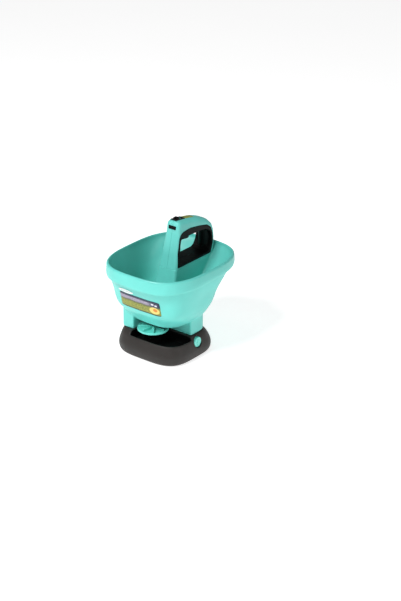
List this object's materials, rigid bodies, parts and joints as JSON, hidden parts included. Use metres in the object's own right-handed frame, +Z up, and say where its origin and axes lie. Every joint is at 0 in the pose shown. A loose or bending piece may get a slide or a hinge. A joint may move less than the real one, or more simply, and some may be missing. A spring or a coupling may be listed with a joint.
{
  "type": "hand-held battery spreader",
  "caption": "Hand-held broadcast spreader: oval hopper with an arched grip handle and trigger, on a dark stand holding motor, cells and spinning disc.",
  "frame": {"origin": "on the ground under the middle of the hopper's rim", "axes": "+Z up, -Y towards the front where the disc throws, +X to the object's side seen on the right from the front"},
  "size_m": [0.251, 0.296, 0.3238],
  "materials": {
    "hopper_turquoise": "satin moulded",
    "handle_turquoise": "satin moulded",
    "grip_black": "fine matt texture",
    "trim_black": "semi-matt",
    "stand_charcoal": "matt grain",
    "well_black": "matt",
    "label_print": "printed film",
    "badge_white": "printed film",
    "scale_yellow": "printed film",
    "button_turquoise": "satin moulded",
    "rotor_turquoise": "satin moulded",
    "nylon": "natural",
    "steel": "machined",
    "brass": "machined",
    "rubber": "moulded",
    "cell_wrap": "shrink sleeve",
    "wire_red": "extruded"
  },
  "bodies": {
    "stand": {"base_shell": "stand_charcoal", "well_tray": "well_black", "base_plate": "stand_charcoal", "battery_box": "well_black", "battery_door": "stand_charcoal", "battery_door_screw": "steel", "contact_plate_front": "steel", "contact_plate_rear": "steel", "battery_cell_1": "cell_wrap", "battery_cell_2": "cell_wrap", "battery_cell_3": "cell_wrap", "battery_cell_4": "cell_wrap", "base_screw_1": "steel", "base_screw_2": "steel", "base_screw_3": "steel", "base_screw_4": "steel", "foot_1": "rubber", "foot_2": "rubber", "foot_3": "rubber", "foot_4": "rubber", "bush_lower": "brass", "bush_upper": "brass", "gearbox_cover": "well_black", "motor": "steel"},
    "rotor_assembly": {"rotor": "rotor_turquoise", "rotor_shaft": "steel", "drive_gear": "nylon"},
    "pinion": {"motor_pinion": "brass"},
    "latch_right": {"latch_button_right": "button_turquoise"},
    "latch_left": {"latch_button_left": "button_turquoise"},
    "hopper_assembly": {"hopper": "hopper_turquoise", "hopper_rim": "hopper_turquoise", "hopper_skirt": "hopper_turquoise", "tower": "hopper_turquoise", "label_panel": "label_print", "badge_oval": "badge_white", "crank_pin": "steel", "handle_shell_right": "handle_turquoise", "handle_shell_left": "handle_turquoise", "grip_frame_right": "grip_black", "grip_frame_left": "grip_black", "trigger_pin": "steel", "slider_bezel": "trim_black", "scale_label": "scale_yellow", "front_slot_insert": "trim_black", "microswitch": "trim_black", "switch_wires": "wire_red", "wire_plug": "nylon", "trigger_spring": "steel", "handle_screw_1": "steel", "handle_screw_2": "steel"},
    "trigger_body": {"trigger": "trim_black"},
    "rod_body": {"link_rod": "nylon"},
    "crank_body": {"bell_crank": "nylon"},
    "shutter_body": {"shutter_plate": "trim_black"},
    "slider_body": {"rate_slider": "trim_black"}
  },
  "joints": [
    {"name": "rotor_spin", "type": "hinge", "parent": "stand", "child": "rotor_assembly", "pos_m": [0, -0.066, 0.068], "axis": [0, 0, 1], "continuous": true},
    {"name": "pinion_spin", "type": "hinge", "parent": "stand", "child": "pinion", "pos_m": [0, -0.0477, 0.04], "axis": [0, 0, 1], "continuous": true},
    {"name": "latch_right_press", "type": "slide", "parent": "stand", "child": "latch_right", "axis": [-1, 0, 0], "range_m": [0, 0.004], "stiffness_N_per_m": 900, "springref_m": -0.003},
    {"name": "latch_left_press", "type": "slide", "parent": "stand", "child": "latch_left", "axis": [1, 0, 0], "range_m": [0, 0.004], "stiffness_N_per_m": 900, "springref_m": -0.003},
    {"name": "hopper_lift", "type": "slide", "parent": "stand", "child": "hopper_assembly", "axis": [0, 0, 1], "range_m": [0, 0.06]},
    {"name": "trigger_pull", "type": "hinge", "parent": "hopper_assembly", "child": "trigger_body", "pos_m": [0, 0.016, 0.28], "axis": [1, 0, 0], "range_deg": [0, 14], "stiffness_Nm_per_rad": 0.6, "springref_deg": -8.59, "deforming": ["trigger_spring"]},
    {"name": "rod_slide", "type": "slide", "parent": "hopper_assembly", "child": "rod_body", "axis": [0, -0.2249, -0.9744], "range_m": [0, 0.0025], "stiffness_N_per_m": 0.2, "springref_m": -0.1447},
    {"name": "crank_swing", "type": "hinge", "parent": "hopper_assembly", "child": "crank_body", "pos_m": [0, -0.016, 0.13], "axis": [1, 0, 0], "range_deg": [0, 13]},
    {"name": "shutter_slide", "type": "slide", "parent": "hopper_assembly", "child": "shutter_body", "axis": [0, 1, 0], "range_m": [0, 0.0105]},
    {"name": "rate_slide", "type": "slide", "parent": "hopper_assembly", "child": "slider_body", "axis": [0, 0.9905, -0.1376], "range_m": [0, 0.011]}
  ],
  "couplings": [
    {"joint": "pinion_spin", "follows": "rotor_spin", "ratio": -3},
    {"joint": "rod_slide", "follows": "trigger_pull", "m_per_rad": 0.0086},
    {"joint": "crank_swing", "follows": "trigger_pull", "ratio": 0.85},
    {"joint": "shutter_slide", "follows": "trigger_pull", "m_per_rad": 0.0389}
  ]
}
